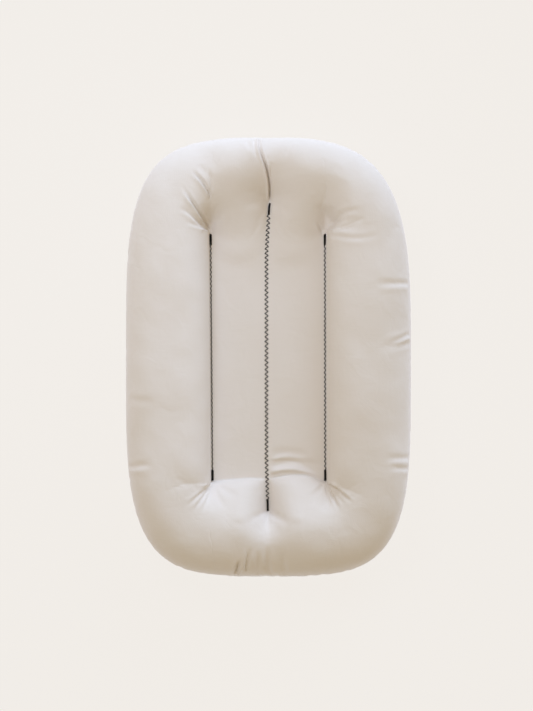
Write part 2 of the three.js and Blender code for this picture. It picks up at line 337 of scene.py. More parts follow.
def sewn_plan(x, y):
    """The plan with the ring's ends swollen into the well, and with the lines' slight drift."""
    across = np.clip(np.abs(x) / side_line, 0, 1)
    head_bulge = lobe_bulge["head"] * (1 - (2 * across - 1) ** 2)
    foot_bulge = lobe_bulge["foot"] * (1 + bulge_lean * np.clip(x / lean_width, -1, 1)) * (1 - across**3)
    foot_bulge = foot_bulge * (1 - bulge_dent + bulge_dent * smooth(across / bulge_dent))
    fade = np.exp(-(((np.abs(y) - well_half_length) / by_end(y, bulge_fade)) ** 2))
    shift = np.where(y > 0, head_bulge, foot_bulge) * fade
    along = np.clip(y / side_reach, -1, 1)
    left, centre, right = (lean_middle[line] + lean_head[line] * along for line in lean_middle)
    back_share = np.clip((np.abs(y) - lean_back_from) / lean_back_over, 0, 1)
    centre = centre * (1 - by_end(y, lean_back) * back_share)
    from_left = smooth((x + side_line) / side_line)
    from_right = smooth((side_line - x) / side_line)
    inside = np.where(x < 0, left + (centre - left) * from_left, right + (centre - right) * from_right)
    fall = smooth((half_width - np.abs(x)) / (half_width - side_line))
    end_fall = smooth((half_length - np.abs(y)) / (half_length - centre_reach))
    return x + inside * fall * end_fall, y - np.sign(y) * shift


groove_depth, groove_half = 1.5, 1.5  # the edge seam draws the cloth in


def casing_form(up, crown, power):
    """The outer face of one panel as a grid of points, rows by columns by xyz."""
    face = seam_height + up * face_lift
    at_end = smooth(np.abs(out_y) ** end_keep)
    fade_here = wall_fade * (sharp_fade + (1 - sharp_fade) * np.clip(share / sharp_until, 0, 1))
    at_end = at_end * smooth((side_line + by_side(plan_x, end_wall) - np.abs(plan_x)) / fade_here)
    ease = np.where(plan_y > 0, 0, foot_ease) * at_end
    slope = np.where(plan_y > 0, at_end, 0)
    square = side_square * np.abs(out_x) ** 2 * np.where(share < 0.5, inner_square, 1)
    lift = lift_of(power + square, ease, slope)
    crown_soft = slope * np.exp(-(((share - wall_share) / crown_spread) ** 2))
    lift = (lift + (blur(lift, crown_blur) - lift) * crown_soft) * tuft_of(plan_x, plan_y)
    by_tuft = smooth((-plan_y - centre_reach - soft_past) / soft_rise)
    by_tuft = by_tuft * smooth((soft_side - np.abs(plan_x)) / soft_fall)
    lift = lift + (blur(lift, tuft_blur) - lift) * by_tuft
    slack = channel_rise(np.clip(plan_x, -side_line, side_line))
    near_end = smooth((np.abs(plan_y) - well_half_length + end_slack_from) / end_slack_over)
    slack = slack * (1 + by_end(plan_y, end_slack) * near_end)
    loose = sling_slack(plan_x, plan_y) * smooth((side_line - np.abs(plan_x)) / slack_fall)
    start = face + up * (slack + slack_depth * loose)
    height = start + (crown - start) * lift
    swell = stuffing_lumps(plan_x, plan_y) * swell_depth + small_lumps(plan_x, plan_y) * lump_depth
    for x, y, wide_radius, long_radius, fuller in swells:
        off_x, off_y = (plan_x - x) / wide_radius, (plan_y - y) / long_radius
        swell = swell + fuller * np.exp(-(off_x**2) - off_y**2)
    height = height + up * swell * lift
    height = height - up * (face_lift - rim_gap) * smooth((share - 1 + rim_share) / rim_share)
    turn = np.arccos(1 - 2 * share)
    middle = 1 - smooth((np.abs(plan_y) / well_half_length - hang_until) / hang_over)
    hang = by_side(plan_x, wall_overhang) * np.abs(out_x) * middle
    hang = hang * 2 * np.sin(turn) * np.maximum(np.cos(turn), 0) ** hang_power
    drawn = groove_depth * np.exp(-(((height - seam_height) / groove_half) ** 2)) * (share > 0.5)
    x, y = sewn_plan(plan_x, plan_y)
    inward = hang + drawn
    return np.stack([x - out_x * inward, y - out_y * inward, height], axis=-1)


def normals_of(points, up):
    """Unit normals of a grid of points, away from the casing."""
    normal = np.cross(np.gradient(points, axis=1), np.gradient(points, axis=0)) * up
    return normal / np.maximum(np.linalg.norm(normal, axis=-1, keepdims=True), 1e-9)


def beside_path(path, x, y):
    """For every point of the plan: how far to the left of a path it lies, how far off and along it."""
    off = np.full(x.shape, 1e9)
    left = np.zeros(x.shape)
    along = np.zeros(x.shape)
    steps = np.diff(path, axis=0)
    spans = np.hypot(steps[:, 0], steps[:, 1])
    gone = np.concatenate([[0], np.cumsum(spans)])
    for (ax, ay), (dx, dy), span, before in zip(path, steps, spans, gone):
        t = np.clip(((x - ax) * dx + (y - ay) * dy) / span**2, 0, 1)
        away_x, away_y = x - ax - dx * t, y - ay - dy * t
        distance = np.hypot(away_x, away_y)
        nearer = distance < off
        off = np.where(nearer, distance, off)
        left = np.where(nearer, dx * away_y - dy * away_x, left)
        along = np.where(nearer, before + span * t, along)
    return np.where(left > 0, off, -off), off, along / gone[-1]


# Sharp valleys beside the ends of the side lines: route from the deep end, width of the slopes and depth.
valleys = [
    ([(-84, -186), (-105, -185), (-126, -186), (-145, -193), (-168, -204)], 17.0, 3.6),
    ([(86, -187), (106, -191), (127, -198), (154, -212)], 18.0, 3.8),
    ([(87, 186), (104, 191), (122, 196), (146, 206)], 13.0, 3.6),
]
valley_start, valley_end = 0.3, 0.6  # shares of its length over which a valley sets in and runs out


def valley_depth(x, y):
    """How far the valleys lower the cloth."""
    total = np.zeros(x.shape)
    for route, width, depth in valleys:
        _, off, along = beside_path(smooth_path(route, 20), x, y)
        strength = smooth(along / valley_start) * smooth((1 - along) / valley_end)
        total += depth * np.exp(-off / width) * strength
    return total


under_crown = -5.0  # the underside is rounded past the floor, then pressed flat by it
top_power, under_power = 2.2, 2.6  # roundness of the ring's section
dip_from, dip_over = 2.0, 16.0  # heights over the seam at which the valleys take hold
top_form = casing_form(1, crown_height, top_power)
over_sling = smooth((top_form[..., 2] - seam_height - dip_from) / dip_over)
top_form[..., 2] -= valley_depth(top_form[..., 0], top_form[..., 1]) * over_sling
under_form = casing_form(-1, under_crown, under_power)
under_form[..., 2] = np.maximum(under_form[..., 2], 0)

# Swelling of the casing
# The ring is filled until its cotton is taut, and the spare cloth round its edge and its tufts gathers in
# folds. A cloth simulation under pressure makes those folds on every second line of the grid.


def mesh_piece(name, points, faces, uv=None):
    """An object from points and lists of faces, shaded smooth. Points and uv are in millimetres."""
    mesh = bpy.data.meshes.new(name)
    points = np.ascontiguousarray(points, np.float32).reshape(-1, 3) / MM
    corners = np.concatenate([np.asarray(part, np.int32).ravel() for part in faces])
    sizes = np.concatenate([np.full(len(part), np.asarray(part).shape[1], np.int32) for part in faces])
    mesh.vertices.add(len(points))
    mesh.vertices.foreach_set("co", points.ravel())
    mesh.loops.add(len(corners))
    mesh.loops.foreach_set("vertex_index", corners)
    mesh.polygons.add(len(sizes))
    mesh.polygons.foreach_set("loop_start", np.concatenate([[0], np.cumsum(sizes)[:-1]]).astype(np.int32))
    mesh.polygons.foreach_set("use_smooth", np.ones(len(sizes), bool))
    if uv is not None:
        layer = mesh.uv_layers.new(name="cloth")
        layer.data.foreach_set("uv", (np.asarray(uv, np.float32)[corners] / MM).ravel())
    mesh.update(calc_edges=True)
    mesh.validate()
    piece = bpy.data.objects.new(name, mesh)
    bpy.context.scene.collection.objects.link(piece)
    return piece


def turned_over(faces, up):
    """Faces made for the top, turned over if they are for underneath."""
    return faces if up > 0 else faces[:, ::-1]


def grid_faces(numbers, up):
    """Four-sided faces over a grid of point numbers, facing up or down."""
    corners = [numbers[:-1, :-1], numbers[:-1, 1:], numbers[1:, 1:], numbers[1:, :-1]]
    return turned_over(np.stack([c.ravel() for c in corners], axis=-1), up)


def weigh(piece, name, weights):
    """A vertex group with the given weights, in even steps."""
    group = piece.vertex_groups.new(name=name)
    steps = np.round(weights * weight_steps).astype(int)
    for step in np.unique(steps):
        group.add(np.nonzero(steps == step)[0].tolist(), step / weight_steps, "REPLACE")


swell_frames, swell_cap = 16, 6.0  # how long the cloth swells, and the farthest that it may move
spare_cloth = 0.07  # share of extra cloth where it gathers
weight_steps = 40


def swell(top, under, held, spare):
    """Moves of both panels' points as the closed skin is blown up, capped, in millimetres."""
    tall, broad = top.shape[:2]
    numbers = np.arange(tall * broad).reshape(tall, broad)
    rim = rim_of(tall, broad)
    below = numbers + tall * broad
    below[rim] = numbers[rim]
    points = np.concatenate([top.reshape(-1, 3), under.reshape(-1, 3)])
    skin = mesh_piece("swelling_skin", points, [grid_faces(numbers, 1), grid_faces(below, -1)])
    weigh(skin, "held", np.concatenate([held.ravel(), held.ravel()]))
    weigh(skin, "spare", np.concatenate([spare.ravel(), spare.ravel()]))
    modifier = skin.modifiers.new("swelling", "CLOTH")
    settings = modifier.settings
    settings.quality = 6
    settings.mass = 0.15
    settings.tension_stiffness = 15
    settings.compression_stiffness = 8
    settings.shear_stiffness = 4
    settings.bending_stiffness = 0.05
    settings.use_pressure = True
    settings.uniform_pressure_force = 4
    settings.vertex_group_mass = "held"
    settings.vertex_group_shrink = "spare"
    settings.shrink_min = 0.0
    settings.shrink_max = -spare_cloth
    settings.effector_weights.gravity = 0
    modifier.collision_settings.use_collision = False
    modifier.point_cache.frame_end = swell_frames
    for number in range(1, swell_frames + 1):
        bpy.context.scene.frame_set(number)
    shape = skin.evaluated_get(bpy.context.evaluated_depsgraph_get()).to_mesh()
    moved = np.empty(len(points) * 3, np.float32)
    shape.vertices.foreach_get("co", moved)
    bpy.context.scene.frame_set(1)
    skin_mesh = skin.data
    bpy.data.objects.remove(skin)
    bpy.data.meshes.remove(skin_mesh)
    move = moved.reshape(-1, 3) * MM - points
    size = np.linalg.norm(move, axis=1, keepdims=True)
    move = move * np.minimum(1, swell_cap / np.maximum(size, 1e-6))
    top_move = move[: tall * broad].reshape(tall, broad, 3)
    under_move = move[tall * broad :].reshape(tall, broad, 3)
    under_move[rim] = top_move[rim]
    return top_move, under_move


def long_waves(grid, times):
    """The field without its short waves, softened over even steps of the plan."""
    spacings = ((0, rows[::2]), (1, columns[::2]))
    for axis, places in spacings:
        even = np.linspace(places[0], places[-1], len(places))
        grid = np.apply_along_axis(lambda line: np.interp(even, places, line), axis, grid)
    grid = blur(grid, times)
    for axis, places in spacings:
        even = np.linspace(places[0], places[-1], len(places))
        grid = np.apply_along_axis(lambda line: np.interp(places, even, line), axis, grid)
    return grid


def refine(grid):
    """Doubles the lines of a grid on a smooth curve through its points."""
    for axis in (0, 1):
        grid = np.moveaxis(grid, axis, 0)
        padded = np.concatenate([grid[:1], grid, grid[-1:]])
        between = (9 * (padded[1:-2] + padded[2:-1]) - padded[:-3] - padded[3:]) / 16
        fine = np.empty((2 * len(grid) - 1,) + grid.shape[1:])
        fine[::2], fine[1::2] = grid, between
        grid = np.moveaxis(fine, 0, axis)
    return grid


seam_keep = 14.0  # height beside the edge seam over which folds die away, so that both panels meet there
well_keep = 0.12  # share of the ring beside the well over which they die away, as the sling is held flat
wave_blur = 24  # how often the moves are softened until only their long waves are left
fold_share = 0.6  # how much of the rest is kept as folds
corner_gather, tuft_gather = 45.0, 40.0  # how far round the ends of the stitch lines the spare cloth lies
edge_gather, edge_width = 0.72, 0.25  # and where it sets in beside the edge, in shares of the ring's width
held_lift = 0.25  # the share of the ring's height up to which the stitches hold the cloth


def off_seam(form):
    """0 at the edge seam and 1 beyond its reach."""
    return np.where(share > 0.5, smooth(np.abs(form[..., 2] - seam_height) / seam_keep), 1)


top_face, under_face = top_form.copy(), under_form.copy()
half = (slice(None, None, 2), slice(None, None, 2))
lift_share = (lift_of(top_power, 0, 0) * tuft_of(plan_x, plan_y))[half]
held = 1 - smooth(lift_share / held_lift)
edge_spare = smooth((share[half] - edge_gather) / edge_width)
to_corner = np.hypot(np.abs(plan_x) - side_line, np.abs(plan_y) - side_reach)[half]
to_tuft = np.hypot(plan_x, np.abs(plan_y) - centre_reach)[half]
tuft_spare = np.exp(-((to_corner / corner_gather) ** 2)) + np.exp(-((to_tuft / tuft_gather) ** 2))
spare = np.clip(edge_spare + tuft_spare, 0, 1)
top_move, under_move = swell(top_form[half], under_form[half], held, spare)
off_well = smooth(share / well_keep)
for face, form, move in ((top_face, top_form, top_move), (under_face, under_form, under_move)):
    folds = refine(move - long_waves(move, wave_blur))
    face += folds * fold_share * (off_seam(form) * off_well)[..., None]
under_face[..., 2] = np.maximum(under_face[..., 2], 0)

# Creases of the casing
# Cotton drawn into the ends of the stitch lines stands in fans of narrow creases, and one deep pleat runs
# from the head's tuft to the edge. The spare cloth of the foot's end lies in small arched folds.


def crease_path(anchor, start, heading, length, bow):
    """Points of a shallow arc that leaves an anchor at a heading in degrees, bowed to its left."""
    turn = math.radians(heading)
    ahead = np.array([math.cos(turn), math.sin(turn)])
    begin = np.array(anchor) + ahead * start
    finish = begin + ahead * length
    middle = (begin + finish) / 2 + np.array([-ahead[1], ahead[0]]) * bow * 2
    t = np.linspace(0, 1, 15)[:, None]
    return begin * (1 - t) ** 2 + 2 * middle * t * (1 - t) + finish * t**2


crease_flare = 0.4  # how much wider a crease gets to its shallow end
shoulder_at, shoulder_width = 2.1, 1.3  # where its shoulders stand and how wide they are, in widths


def crease(x, y, path, width, depth, lip=0.0, shoulder=0.5, fade=(0.15, 0.65)):
    """Height that a crease adds: a narrow valley with rounded shoulders, and a lip on its left side."""
    left, off, along = beside_path(path, x, y)
    width = width * (1 + crease_flare * along)
    valley = -depth * np.exp(-((off / width) ** 2))
    past = (off - shoulder_at * width) / (shoulder_width * width)
    shoulders = depth * shoulder * np.exp(-(past**2))
    raised = lip * (left / width) * np.exp(0.5 - (left / width) ** 2 / 2)
    strength = smooth(along / fade[0]) * smooth((1 - along) / fade[1])
    return (valley + shoulders + raised) * strength


left_head, right_head = (-86.5, 186.0), (85.0, 182.0)
left_foot, right_foot = (-84.0, -186.0), (85.0, -186.0)
# Each row is a crease's route from its deep end, its width and depth, and how much its left side is raised.
creases = [
    ([(-89, 190), (-97, 203), (-106, 218), (-115, 231), (-129, 252)], 1.5, 2.6, 2.2),
    ([(-92, 188), (-104, 199), (-117, 210), (-133, 219)], 1.9, 1.6, 1.2),
    ([(-96, 188), (-107, 193), (-121, 198)], 1.9, 0.6, 0.2),
    ([(-85, 234), (-91, 246), (-99, 258), (-107, 266), (-115, 276)], 1.5, 2.0, 1.8),
    ([(-83, 246), (-86, 264), (-90, 280)], 1.8, 0.8, 0.5),
    ([(-104, 279), (-90, 265), (-76, 250)], 3.2, 0.5, -0.6),
    ([(93, 196), (107, 210), (122, 214), (140, 215)], 2.6, 1.2, -0.2),
    ([(88, 186), (105, 190), (120, 190), (134, 191)], 2.6, 0.9, 0.2),
    ([(88, 182), (110, 176), (134, 174), (166, 179)], 2.7, 0.8, -0.1),
    ([(83, 184), (78, 193), (71, 206)], 2.0, 1.8, 0.0),
    ([(-87, -189), (-104, -203), (-124, -220)], 1.7, 0.9, -0.6),
    ([(-86, -190), (-99, -208), (-113, -228)], 1.7, 0.9, -0.6),
    ([(-84, -192), (-92, -212), (-99, -229)], 1.8, 0.7, -0.4),
    ([(-73, -191), (-38, -206)], 3.4, 0.5, 0.4),
    ([(-78, -196), (-60, -225)], 3.0, 0.4, 0.3),
    ([(89, -187), (105, -197), (126, -215)], 1.6, 1.4, 1.0),
    ([(88, -190), (96, -206), (106, -226)], 1.6, 1.3, 1.0),
    ([(86, -192), (89, -206), (91, -222)], 1.5, 0.9, 0.6),
    ([(81, -189), (70, -198), (56, -207)], 2.4, 0.9, -0.6),
    ([(79, -194), (61, -221)], 3.0, 0.5, 0.3),
    ([(-1, -233), (0, -262)], 3.0, 0.5, 0.2),
    ([(-5, -232), (-32, -242)], 3.6, 0.6, 0.3),
    ([(2, -232), (32, -245)], 3.6, 0.8, -0.3),
    ([(-14, 324), (-13, 303), (-9, 288)], 1.5, 1.6, -1.2),
    ([(-23, 322), (-21, 302), (-17, 286)], 1.9, 1.0, -0.8),
    ([(-9, 229), (-26, 226), (-43, 219)], 4.2, 0.6, 0.4),
    ([(6, 227), (24, 219), (41, 207)], 4.4, 0.5, -0.3),
    ([(-49, -321), (-46, -311), (-42, -296)], 1.8, 4.5, -0.6),
    ([(-35, -317), (-32, -298), (-28, -277)], 2.0, 2.6, 1.0),
    ([(-18, -324), (-15, -280)], 3.0, 1.6, 0.5),
    ([(3, -324), (-1, -300), (-1, -276)], 3.2, 1.6, -0.6),
    ([(24, -324), (18, -284)], 3.2, 1.2, 0.4),
    ([(-35, 318), (-23, 299)], 3.0, 0.6, -0.5),
    ([(34, 318), (22, 286)], 3.2, 0.6, 0.5),
    ([(208, 107), (180, 106), (152, 105)], 3.4, 0.9, 0.9),
    ([(209, 34), (190, 25), (170, 20)], 2.6, 1.5, 1.0),
    ([(209, 24), (186, 19), (163, 18)], 3.6, 1.0, -0.9),
    ([(208, -150), (166, -149)], 3.6, 0.8, 0.7),
    ([(208, -166), (172, -161)], 3.2, 0.7, 0.6),
    ([(-209, -164), (-168, -157)], 3.6, 0.9, -1.0),
    ([(-208, -60), (-158, -63)], 4.4, 0.5, 0.4),
]
# Folds that lie across the sling's foot and take up its spare cloth, in rows of the same kind.
foot_folds = [
    ([(0, -168), (23, -163), (46, -164), (82, -181)], 5.4, 0.0, -4.0),
    ([(0, -178), (22, -173), (47, -174), (82, -184)], 1.9, 1.7, -0.5),
    ([(2, -152), (26, -147), (66, -153)], 4.6, 0.0, -1.7),
    ([(2, -159), (26, -155), (56, -159)], 2.2, 0.9, -0.3),
]
pleat_width, pleat_depth, pleat_lip = 1.15, 11.0, 1.4


def crease_height(x, y):
    """Height that all the creases and folds of the top add."""
    total = np.zeros(x.shape)
    for route, width, depth, lip in creases:
        total += crease(x, y, smooth_path(route, 20), width, depth, lip, fade=(0.08, 0.5))
    for route, width, depth, lip in foot_folds:
        total += crease(x, y, smooth_path(route, 20), width, depth, lip, fade=(0.15, 0.35))
    return total


def pleat_height(x, y):
    """Height that the head's pleat adds, from where it leaves the tuft."""
    return crease(x, y, pleat_path[6:], pleat_width, pleat_depth, pleat_lip, shoulder=0.2, fade=(0.1, 0.6))


# Least and most of each size of a pucker, and the form of its shoulders in shares and widths.
pucker_gap, pucker_width, pucker_reach, pucker_depth = (16.0, 44.0), (3.2, 5.5), (8, 24), (0.25, 1.0)
pucker_margin = 4.0
pucker_shoulder, pucker_shoulder_at, pucker_shoulder_width = 0.45, 2.0, 1.2


def pucker_places():
    """Where the edge seam puckers the cloth: place, width, reach and depth of each pucker."""
    place, puckers = pucker_margin, []
    while place < edge_length - 2 * pucker_margin:
        sizes = [chance.uniform(*limits) for limits in (pucker_width, pucker_reach, pucker_depth)]
        puckers.append((place, *sizes))
        place += chance.uniform(*pucker_gap)
    return puckers


puckers = pucker_places()


def pucker_height(face):
    """Height that the seam's puckers add, strongest at the seam."""
    total = np.zeros(share.shape)
    rise = np.abs(face[..., 2] - seam_height)
    inward = np.hypot(face[..., 0] - rim_x, face[..., 1] - rim_y)
    from_seam = np.where(share > 0.5, np.hypot(rise, inward), 1e3)
    for place, width, reach, depth in puckers:
        beside = np.abs((around - place + edge_length / 2) % edge_length - edge_length / 2)
        valley = np.exp(-((beside / width) ** 2))
        past = (beside - pucker_shoulder_at * width) / (pucker_shoulder_width * width)
        shoulders = pucker_shoulder * np.exp(-(past**2))
        total -= depth * (valley - shoulders) * np.exp(-((from_seam / reach) ** 2))
    return total


top_creases = crease_height(top_face[..., 0], top_face[..., 1]) * off_seam(top_form)
top_creases = top_creases + pucker_height(top_face)
under_folds = pucker_height(under_face)
# Underneath, a fan of creases leaves each end of the side lines for the ring.
fan_count, fan_width, fan_turn, fan_spread = 5, 3.6, (-60, 60), 1.3
fan_start, fan_length, fan_bow, fan_depth, fan_lip = (2, 14), (30, 70), (-4, 4), (0.5, 1.4), 0.5
for outward, anchor in ((180, left_head), (0, right_head), (180, left_foot), (0, right_foot)):
    for turn in chance.uniform(*fan_turn, fan_count):
        begin, length, bow = (chance.uniform(*limits) for limits in (fan_start, fan_length, fan_bow))
        path = crease_path(anchor, begin, outward + turn * fan_spread, length, bow)
        depth = chance.uniform(*fan_depth)
        lip = depth * fan_lip
        under_folds += crease(under_face[..., 0], under_face[..., 1], path, fan_width, depth, lip)
normal_blur = 6  # the faces are softened before their normals are taken, so that no crease crosses itself
top_smooth, under_smooth = top_face.copy(), under_face.copy()
top_face += normals_of(blur(top_face, normal_blur), 1) * top_creases[..., None]
under_face += normals_of(blur(under_face, normal_blur), -1) * under_folds[..., None]
pleat = pleat_height(top_smooth[..., 0], top_smooth[..., 1]) * off_seam(top_form)
top_face[..., 2] += pleat
top_creases += pleat
# Neither panel is drawn through the other where they are stitched together.
top_least = np.minimum(top_form[..., 2], seam_height + face_lift)
under_most = np.maximum(under_form[..., 2], seam_height - face_lift)
top_face[..., 2] = np.maximum(top_face[..., 2], top_least)
under_face[..., 2] = np.minimum(under_face[..., 2], under_most)
under_face[..., 2] = np.maximum(under_face[..., 2], 0)
at_rim = rim_of(high, wide)
top_face[at_rim] = under_face[at_rim] = (top_face[at_rim] + under_face[at_rim]) / 2

# Casing of woven cotton
# Each panel is one closed skin of plain-woven cream cotton. Its edge is turned in as a seam allowance,
# where it meets the other panel's.

hem_width, hem_rise = 8.6, 0.8
hem_fold, hem_edge, lining_in, lining_gap = 3.0, 0.4, 2.0, 0.1  # steps of its section, from the rim in


def lowest_near(grid, reach):
    """The least value within a few lines of each point."""
    least = grid.copy()
    for axis in (0, 1):
        spread = least.copy()
        for step in range(1, reach + 1):
            ahead, behind = np.roll(least, step, axis), np.roll(least, -step, axis)
            spread = np.minimum(spread, np.minimum(ahead, behind))
        least = spread
    return least


def flat_cloth(face):
    """Where each point of a panel lay on the flat cloth, from lengths measured along the grid's lines."""
    steps_x = np.linalg.norm(np.diff(face, axis=1), axis=-1)
    steps_y = np.linalg.norm(np.diff(face, axis=0), axis=-1)
    u = np.concatenate([np.zeros((high, 1)), np.cumsum(steps_x, axis=1)], axis=1)
    v = np.concatenate([np.zeros((1, wide)), np.cumsum(steps_y, axis=0)], axis=0)
    return np.stack([u - u[:, wide // 2, None], v - v[high // 2, None, :]], axis=-1)


def panel_piece(name, smooth_face, creases, face, up):
    """A closed skin: the outer face, the allowance turned in at the rim, and the inner face."""
    inset = cloth - lowest_near(creases, 3)
    inner = smooth_face - normals_of(blur(smooth_face, normal_blur), up) * inset[..., None]
    inner = inner[::2, ::2]
    inner_high, inner_wide = inner.shape[:2]
    inner_border = border_of(inner_high, inner_wide)
    rim = face.reshape(-1, 3)[border][::2]
    inward = -np.concatenate([edge_out, np.zeros((len(edge_out), 1))], axis=1)[::2]
    rise = np.array([0, 0, up])
    hem = [
        rim + inward * hem_fold,
        rim + inward * hem_width,
        rim + inward * (hem_width + hem_edge) + rise * hem_rise / 2,
        rim + inward * hem_width + rise * hem_rise,
    ]
    inner = inner.reshape(-1, 3)
    inner[inner_border] = rim + inward * lining_in + rise * (hem_rise + lining_gap)
    count = len(rim)
    outer_numbers = np.arange(high * wide).reshape(high, wide)
    hem_start = high * wide
    inner_start = hem_start + len(hem) * count
    rings = [hem_start + k * count + np.arange(count) for k in range(len(hem))]
    rings.append(inner_start + inner_border)
    a, b, c = border[::2], border[1::2], np.roll(border[::2], -1)
    p, q = rings[0], np.roll(rings[0], -1)
    joins = [np.stack(corners, axis=-1) for corners in ((b, a, p), (b, p, q), (c, b, q))]
    bands = [
        np.stack([np.roll(one, -1), one, other, np.roll(other, -1)], axis=-1)
        for one, other in zip(rings[:-1], rings[1:])
    ]
    strips = [turned_over(strip, up) for strip in joins + bands]
    inner_numbers = inner_start + np.arange(inner_high * inner_wide).reshape(inner_high, inner_wide)
    faces = [grid_faces(outer_numbers, up), grid_faces(inner_numbers, -up)] + strips
    flat = flat_cloth(face)
    rim_flat = flat.reshape(-1, 2)[border][::2]
    hem_flat, inner_flat = np.tile(rim_flat, (len(hem), 1)), flat[::2, ::2].reshape(-1, 2)
    uv = np.concatenate([flat.reshape(-1, 2), hem_flat, inner_flat])
    return mesh_piece(name, np.concatenate([face.reshape(-1, 3), *hem, inner]), faces, uv)


def linear(hex_colour):
    """An sRGB hex colour as linear red, green and blue with full alpha."""
    channels = [int(hex_colour[i : i + 2], 16) / 255 for i in (1, 3, 5)]
    return [c / 12.92 if c <= 0.04045 else ((c + 0.055) / 1.055) ** 2.4 for c in channels] + [1.0]


def node(tree, kind, inputs=(), **settings):
    """Adds a node with its settings. Each input is a value or another node's output."""
    made = tree.nodes.new(kind)
    for key, value in settings.items():
        setattr(made, key, value)
    for key, value in dict(inputs).items():
        if isinstance(value, bpy.types.NodeSocket):
            tree.links.new(value, made.inputs[key])
        else:
            made.inputs[key].default_value = value
    return made


def new_material(name):
    """An empty material and its node tree."""
    material = bpy.data.materials.new(name)
    material.use_nodes = True
    tree = material.node_tree
    tree.nodes.clear()
    return material, tree


# Plain-woven cotton, washed and unbleached: matt, softly uneven, with a faint nap that catches light.
# Its real yarns lie 0.45 mm apart, too fine to show, so they are drawn three times as coarse.
yarn_pitch, slub_length, crumple_size, shade_size = 1.35, 30.0, 24.0, 70.0
yarn_depth, crumple_depth = 0.12, 0.8
cotton, tree = new_material("woven_cotton")
cloth_place = node(tree, "ShaderNodeUVMap", uv_map="cloth")
cloth_mm = node(
    tree,
    "ShaderNodeVectorMath",
    {0: cloth_place.outputs["UV"], "Scale": MM},
    operation="SCALE",
)
turns = node(
    tree,
    "ShaderNodeVectorMath",
    {0: cloth_mm.outputs["Vector"], "Scale": math.pi / yarn_pitch},
    operation="SCALE",
)
ways = node(tree, "ShaderNodeSeparateXYZ", {0: turns.outputs["Vector"]})
warp = node(tree, "ShaderNodeMath", {0: ways.outputs["X"]}, operation="SINE")
weft = node(tree, "ShaderNodeMath", {0: ways.outputs["Y"]}, operation="SINE")
weave = node(tree, "ShaderNodeMath", {0: warp.outputs[0], 1: weft.outputs[0]}, operation="MULTIPLY")
slub_place = node(
    tree,
    "ShaderNodeVectorMath",
    {0: cloth_mm.outputs["Vector"], 1: (1 / slub_length, 1 / yarn_pitch, 0)},
    operation="MULTIPLY",
)
slubs = node(
    tree,
    "ShaderNodeTexNoise",
    {"Vector": slub_place.outputs["Vector"], "Scale": 1.0, "Detail": 2.0},
)
object_place = node(tree, "ShaderNodeTexCoord")
shade = node(
    tree,
    "ShaderNodeTexNoise",
    {"Vector": object_place.outputs["Object"], "Scale": MM / shade_size, "Detail": 3.0},
)
crumple = node(
    tree,
    "ShaderNodeTexNoise",
    {
        "Vector": object_place.outputs["Object"],
        "Scale": MM / crumple_size,
        "Detail": 3.0,
        "Distortion": 0.6,
    },
)
uneven = node(tree, "ShaderNodeValToRGB", {"Fac": shade.outputs["Fac"]})
uneven.color_ramp.elements[0].position = 0.3
uneven.color_ramp.elements[0].color = linear("#E4DCD1")
uneven.color_ramp.elements[1].position = 0.7
uneven.color_ramp.elements[1].color = linear("#E8E0D7")
threads = node(
    tree,
    "ShaderNodeMix",
    {"Factor": slubs.outputs["Fac"], "A": uneven.outputs["Color"], "B": linear("#E9E1D8")},
    data_type="RGBA",
)
yarn_bump = node(
    tree,
    "ShaderNodeBump",
    {"Height": weave.outputs[0], "Strength": 0.25, "Distance": yarn_depth / MM},
)
crumple_bump = node(
    tree,
    "ShaderNodeBump",
    {
        "Height": crumple.outputs["Fac"],
        "Strength": 1.0,
        "Distance": crumple_depth / MM,
        "Normal": yarn_bump.outputs["Normal"],
    },
)
surface = node(
    tree,
    "ShaderNodeBsdfPrincipled",
    {
        "Base Color": threads.outputs["Result"],
        "Roughness": 0.9,
        "Specular IOR Level": 0.25,
        "Sheen Weight": 0.2,
        "Sheen Roughness": 0.4,
        "Normal": crumple_bump.outputs["Normal"],
    },
)
node(tree, "ShaderNodeOutputMaterial", {"Surface": surface.outputs[0]})

panels = (
    ("top_casing", "top_panel", top_face, top_smooth, top_creases, 1),
    ("under_casing", "bottom_panel", under_face, under_smooth, under_folds, -1),
)
for name, cad_node, face, smooth_face, creases, up in panels:
    casing = panel_piece(name, smooth_face, creases, face, up)
    casing.data.materials.append(cotton)
    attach(casing, "root")
    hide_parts(cad_node)

# Fibre filling of the ring
# Loose siliconised polyester fibre is packed through the foot until the ring is firm. It fills the ring
# alone, and the side stitch lines keep it out of the sling.

fibre_inset, fibre_stride, fibre_least = 6.0, 4, 0.1
fibre_nose = 76  # grid lines from the rim to the nose of the ring, beside the well


def fibre_face(form, creases, up):
    """The fibre's skin inside one panel, on every fourth line. It lies low under creases."""
    deepest = lowest_near(creases, fibre_stride + 2)
    points = form - normals_of(form, up) * (fibre_inset - deepest)[..., None]
    points[..., 2] += up * deepest
    low_cloth = lowest_near(up * (form[..., 2] - seam_height), fibre_stride) - cloth
    points[..., 2] = seam_height + up * np.minimum(up * (points[..., 2] - seam_height), low_cloth)
    points = points[::fibre_stride, ::fibre_stride]
    points[..., 2] = seam_height + up * np.maximum(up * (points[..., 2] - seam_height), fibre_least)
    return points


